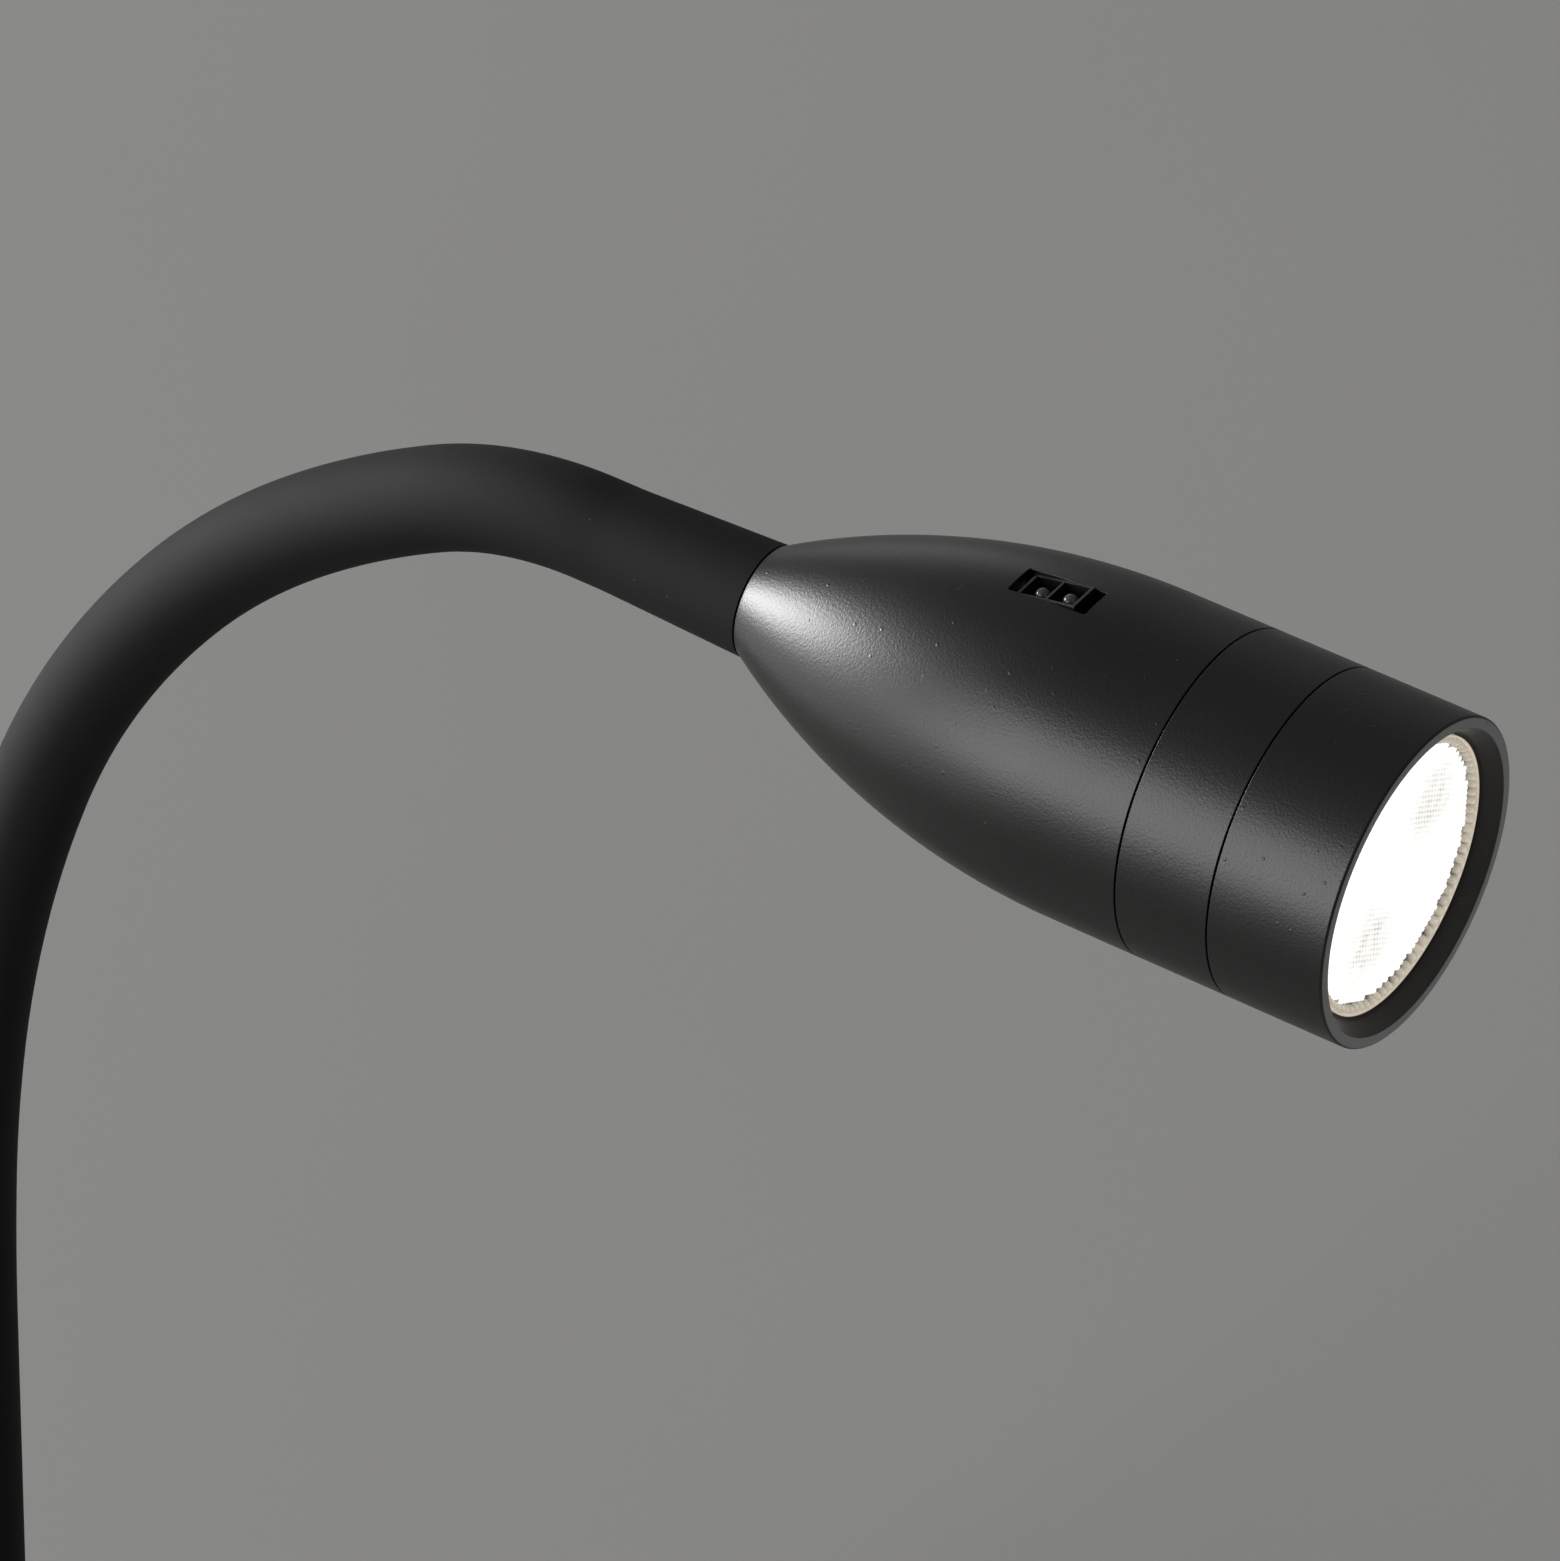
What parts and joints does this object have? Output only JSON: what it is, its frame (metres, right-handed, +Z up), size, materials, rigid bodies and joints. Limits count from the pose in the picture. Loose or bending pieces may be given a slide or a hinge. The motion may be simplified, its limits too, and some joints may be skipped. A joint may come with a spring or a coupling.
{
  "type": "wall lamp",
  "caption": "Gooseneck wall lamp: a small wall box carries a silicone-covered flexible neck and a bullet-shaped LED head with a touchless sensor on top.",
  "frame": {"origin": "middle of the wall plate's back face, on the wall", "axes": "+X out of the wall into the room, +Z up, +Y across; the neck stands in the plane Y = 0 at rest"},
  "size_m": [0.2918, 0.07, 0.473],
  "materials": {
    "black_paint": "satin",
    "silicone": "matte",
    "steel": "satin",
    "screws": "satin",
    "driver_plastic": "matte",
    "terminal_plastic": "matte",
    "rubber": "matte",
    "brass": "satin",
    "wire_brown": "satin",
    "wire_red": "satin",
    "lead_jacket": "matte",
    "lens_clear": "gloss",
    "reflector_white": "satin",
    "led_phosphor": "matte",
    "led_board_white": "satin",
    "bare_aluminium": "satin",
    "sensor_black": "matte",
    "sensor_eye": "gloss",
    "circuit_board": "satin"
  },
  "bodies": {
    "base": {"wall_plate": "steel", "base_cover": "black_paint", "cover_screws": "screws", "neck_collar": "black_paint", "lock_washer": "steel", "base_nut": "steel", "led_driver": "driver_plastic", "driver_screws": "screws", "terminal_block": "terminal_plastic", "terminal_screws": "screws", "cable_grommet": "rubber", "earth_tag": "brass", "earth_screw": "screws", "mains_wires": "wire_brown", "lower_ferrule": "steel", "neck_lead": "lead_jacket", "neck_sleeve_00": "silicone"},
    "neck_link_01": {"neck_core_01": "steel", "neck_sleeve_01": "silicone"},
    "neck_link_02": {"neck_core_02": "steel", "neck_sleeve_02": "silicone"},
    "neck_link_03": {"neck_core_03": "steel", "neck_sleeve_03": "silicone"},
    "neck_link_04": {"neck_core_04": "steel", "neck_sleeve_04": "silicone"},
    "neck_link_05": {"neck_core_05": "steel", "neck_sleeve_05": "silicone"},
    "neck_link_06": {"neck_core_06": "steel", "neck_sleeve_06": "silicone"},
    "neck_link_07": {"neck_core_07": "steel", "neck_sleeve_07": "silicone"},
    "neck_link_08": {"neck_core_08": "steel", "neck_sleeve_08": "silicone"},
    "neck_link_09": {"neck_core_09": "steel", "neck_sleeve_09": "silicone"},
    "neck_link_10": {"neck_core_10": "steel", "neck_sleeve_10": "silicone"},
    "neck_link_11": {"neck_core_11": "steel", "neck_sleeve_11": "silicone"},
    "neck_link_12": {"neck_core_12": "steel", "neck_sleeve_12": "silicone"},
    "head": {"upper_ferrule": "steel", "head_nut": "steel", "head_shell": "black_paint", "middle_ring": "black_paint", "front_ring": "black_paint", "lens": "lens_clear", "lens_gasket": "rubber", "reflector": "reflector_white", "led_chip": "led_phosphor", "led_board": "led_board_white", "led_screws": "screws", "heat_sink": "bare_aluminium", "sensor_body": "sensor_black", "sensor_eyes": "sensor_eye", "sensor_board": "circuit_board", "board_screws": "screws", "lead_plug": "terminal_plastic", "led_wires": "wire_red", "neck_sleeve_13": "silicone"}
  },
  "joints": [
    {"name": "neck_lean_1", "type": "hinge", "parent": "base", "child": "neck_link_01", "pos_m": [0.022, 0, 0.0765], "axis": [0.0005, 1, 0], "range_deg": [0, 20], "deforming": ["neck_sleeve_00", "neck_sleeve_01", "neck_lead"]},
    {"name": "neck_lean_2", "type": "hinge", "parent": "neck_link_01", "child": "neck_link_02", "pos_m": [0.022, 0, 0.1075], "axis": [0.0005, 1, 0], "range_deg": [0, 20], "deforming": ["neck_sleeve_02"]},
    {"name": "neck_lean_3", "type": "hinge", "parent": "neck_link_02", "child": "neck_link_03", "pos_m": [0.022, 0, 0.1385], "axis": [0.0005, 1, 0], "range_deg": [0, 20], "deforming": ["neck_sleeve_03"]},
    {"name": "neck_sway_1", "type": "hinge", "parent": "neck_link_03", "child": "neck_link_04", "pos_m": [0.022, 0, 0.1695], "axis": [1, 0.0005, 0], "range_deg": [-20, 20], "deforming": ["neck_sleeve_04"]},
    {"name": "neck_sway_2", "type": "hinge", "parent": "neck_link_04", "child": "neck_link_05", "pos_m": [0.02268, 0, 0.20049], "axis": [0.999, 0, -0.0436], "range_deg": [-20, 20], "deforming": ["neck_sleeve_05"]},
    {"name": "neck_sway_3", "type": "hinge", "parent": "neck_link_05", "child": "neck_link_06", "pos_m": [0.02538, 0, 0.23136], "axis": [0.9914, 0, -0.1305], "range_deg": [-20, 20], "deforming": ["neck_sleeve_06"]},
    {"name": "neck_turn_1", "type": "hinge", "parent": "neck_link_06", "child": "neck_link_07", "pos_m": [0.03102, 0, 0.26183], "axis": [0.9724, 0, -0.2334], "range_deg": [-17, 17], "deforming": ["neck_sleeve_07"]},
    {"name": "neck_turn_2", "type": "hinge", "parent": "neck_link_07", "child": "neck_link_08", "pos_m": [0.03982, 0, 0.29154], "axis": [0.9426, 0, -0.3338], "range_deg": [-17, 17], "deforming": ["neck_sleeve_08"]},
    {"name": "neck_turn_3", "type": "hinge", "parent": "neck_link_08", "child": "neck_link_09", "pos_m": [0.05266, 0, 0.31971], "axis": [0.8704, 0, -0.4924], "range_deg": [-17, 17], "deforming": ["neck_sleeve_09"]},
    {"name": "neck_nod_1", "type": "hinge", "parent": "neck_link_09", "child": "neck_link_10", "pos_m": [0.07009, 0, 0.34531], "axis": [0.0005, 1, 0], "range_deg": [-18, 15], "deforming": ["neck_sleeve_10"]},
    {"name": "neck_nod_2", "type": "hinge", "parent": "neck_link_10", "child": "neck_link_11", "pos_m": [0.09197, 0, 0.36719], "axis": [0.0005, 1, 0], "range_deg": [-18, 15], "deforming": ["neck_sleeve_11"]},
    {"name": "neck_nod_3", "type": "hinge", "parent": "neck_link_11", "child": "neck_link_12", "pos_m": [0.11771, 0, 0.38439], "axis": [0.0005, 1, 0], "range_deg": [-18, 15], "deforming": ["neck_sleeve_12"]},
    {"name": "neck_nod_4", "type": "hinge", "parent": "neck_link_12", "child": "head", "pos_m": [0.14745, 0, 0.39194], "axis": [0.0005, 1, 0], "range_deg": [-18, 15], "deforming": ["neck_sleeve_13"]}
  ],
  "couplings": [
    {"joint": "neck_lean_2", "follows": "neck_lean_1", "ratio": 1},
    {"joint": "neck_lean_3", "follows": "neck_lean_1", "ratio": 1},
    {"joint": "neck_sway_2", "follows": "neck_sway_1", "ratio": 1},
    {"joint": "neck_sway_3", "follows": "neck_sway_1", "ratio": 1},
    {"joint": "neck_turn_2", "follows": "neck_turn_1", "ratio": 1},
    {"joint": "neck_turn_3", "follows": "neck_turn_1", "ratio": 1},
    {"joint": "neck_nod_2", "follows": "neck_nod_1", "ratio": 1},
    {"joint": "neck_nod_3", "follows": "neck_nod_1", "ratio": 1},
    {"joint": "neck_nod_4", "follows": "neck_nod_1", "ratio": 1}
  ]
}
